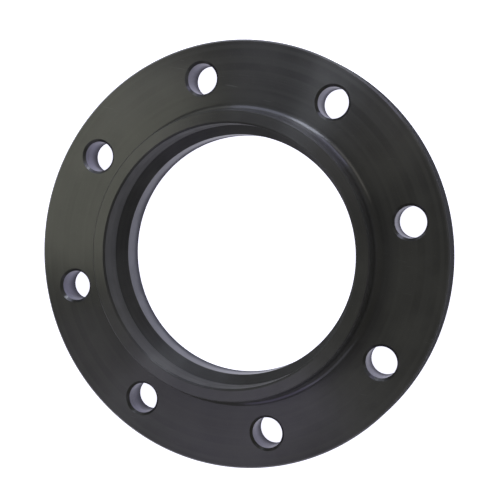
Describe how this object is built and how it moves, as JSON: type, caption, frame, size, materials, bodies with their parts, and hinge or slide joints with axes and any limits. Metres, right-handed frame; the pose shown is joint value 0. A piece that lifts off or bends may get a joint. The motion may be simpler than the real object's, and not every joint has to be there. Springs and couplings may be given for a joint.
{
  "type": "pipe flange",
  "caption": "Forged steel pipe flange: thick drilled disc, short round hub with a stepped socket bore, and a raised gasket face on its back.",
  "frame": {"origin": "centre of the gasket face, on the pipe axis", "axes": "+Z along the pipe axis, from the gasket face towards the hub; the bolt holes straddle the X and Y centre lines"},
  "size_m": [0.25, 0.25, 0.0375],
  "materials": {
    "black_steel": "semi-gloss black rust-proofing over fine-turned forged steel"
  },
  "bodies": {
    "root": {"flange": "black_steel"}
  },
  "joints": []
}
